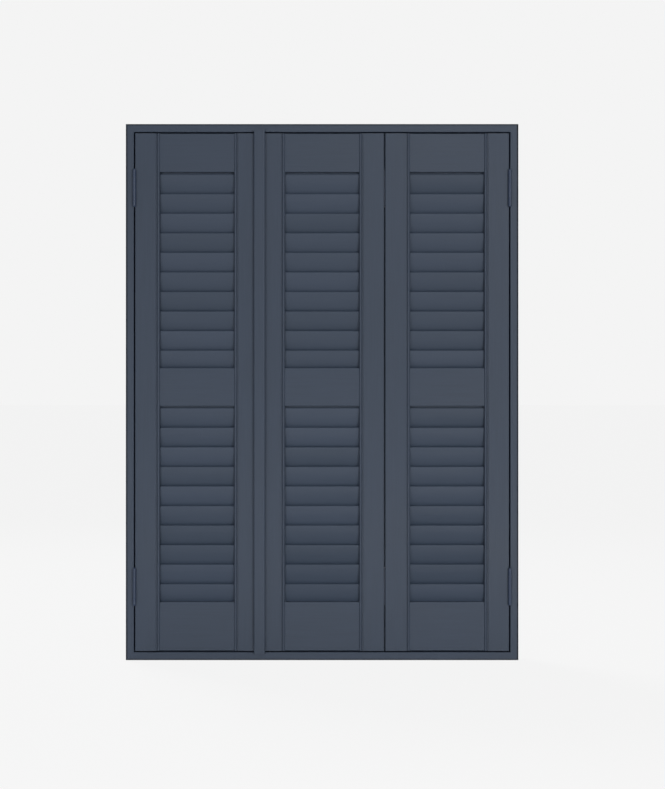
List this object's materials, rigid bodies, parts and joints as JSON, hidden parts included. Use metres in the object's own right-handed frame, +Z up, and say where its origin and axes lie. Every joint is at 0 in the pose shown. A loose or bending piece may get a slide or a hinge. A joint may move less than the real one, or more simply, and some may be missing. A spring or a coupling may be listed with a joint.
{
  "type": "louvred window shutters",
  "caption": "Painted timber window shutters in a rebated frame: a single louvred panel on the left and a folding pair of louvred panels on the right, closed by a cover strip.",
  "frame": {"origin": "middle of the underside of the frame's sill, half way through the frame's depth", "axes": "+X across the window to the right as seen from the room, +Y from the room to the window, +Z up"},
  "size_m": [0.804, 0.0545, 1.098],
  "materials": {
    "frame_paint": "satin slate-blue paint on timber",
    "panel_paint": "satin slate-blue paint on timber",
    "louvre_paint": "satin slate-blue paint on timber",
    "hinge_paint": "satin slate-blue enamel on steel",
    "hinge_pin": "satin slate-blue enamel on steel",
    "screw_steel": "zinc-plated steel",
    "catch_steel": "nickel-plated"
  },
  "bodies": {
    "frame": {"frame_head": "frame_paint", "frame_sill": "frame_paint", "frame_left_jamb": "frame_paint", "frame_right_jamb": "frame_paint", "head_stop": "frame_paint", "sill_stop": "frame_paint", "left_jamb_stop": "frame_paint", "right_jamb_stop": "frame_paint", "catch_magnets": "catch_steel", "frame_hinge_screws": "screw_steel", "left_top_hinge_fixed_leaf": "hinge_paint", "left_top_hinge_pin": "hinge_pin", "right_top_hinge_fixed_leaf": "hinge_paint", "right_top_hinge_pin": "hinge_pin", "left_bottom_hinge_fixed_leaf": "hinge_paint", "left_bottom_hinge_pin": "hinge_pin", "right_bottom_hinge_fixed_leaf": "hinge_paint", "right_bottom_hinge_pin": "hinge_pin"},
    "left_panel": {"left_panel_left_stile": "panel_paint", "left_panel_right_stile": "panel_paint", "left_panel_top_rail": "panel_paint", "left_panel_mid_rail": "panel_paint", "left_panel_bottom_rail": "panel_paint", "left_upper_louvres": "louvre_paint", "left_lower_louvres": "louvre_paint", "left_panel_hinge_screws": "screw_steel", "cover_strip": "panel_paint", "strip_batten": "panel_paint", "left_strike_plate": "catch_steel", "left_top_hinge_moving_leaf": "hinge_paint", "left_bottom_hinge_moving_leaf": "hinge_paint"},
    "right_panel": {"right_panel_left_stile": "panel_paint", "right_panel_right_stile": "panel_paint", "right_panel_top_rail": "panel_paint", "right_panel_mid_rail": "panel_paint", "right_panel_bottom_rail": "panel_paint", "right_upper_louvres": "louvre_paint", "right_lower_louvres": "louvre_paint", "right_panel_hinge_screws": "screw_steel", "right_top_hinge_moving_leaf": "hinge_paint", "fold_top_hinge_fixed_leaf": "hinge_paint", "fold_top_hinge_pin": "hinge_pin", "right_bottom_hinge_moving_leaf": "hinge_paint", "fold_bottom_hinge_fixed_leaf": "hinge_paint", "fold_bottom_hinge_pin": "hinge_pin"},
    "middle_panel": {"middle_panel_left_stile": "panel_paint", "middle_panel_right_stile": "panel_paint", "middle_panel_top_rail": "panel_paint", "middle_panel_mid_rail": "panel_paint", "middle_panel_bottom_rail": "panel_paint", "middle_upper_louvres": "louvre_paint", "middle_lower_louvres": "louvre_paint", "middle_panel_hinge_screws": "screw_steel", "middle_strike_plate": "catch_steel", "fold_top_hinge_moving_leaf": "hinge_paint", "fold_bottom_hinge_moving_leaf": "hinge_paint"}
  },
  "joints": [
    {"name": "left_swing", "type": "hinge", "parent": "frame", "child": "left_panel", "pos_m": [-0.3842, -0.0264, 0.549], "axis": [0, 0, -1], "range_deg": [0, 170]},
    {"name": "right_swing", "type": "hinge", "parent": "frame", "child": "right_panel", "pos_m": [0.3842, -0.0264, 0.549], "axis": [0, 0, 1], "range_deg": [0, 88]},
    {"name": "middle_fold", "type": "hinge", "parent": "right_panel", "child": "middle_panel", "pos_m": [0.12807, 0.0084, 0.549], "axis": [0, 0, 1], "range_deg": [-176, 0]}
  ],
  "couplings": [
    {"joint": "middle_fold", "follows": "right_swing", "ratio": -2}
  ]
}
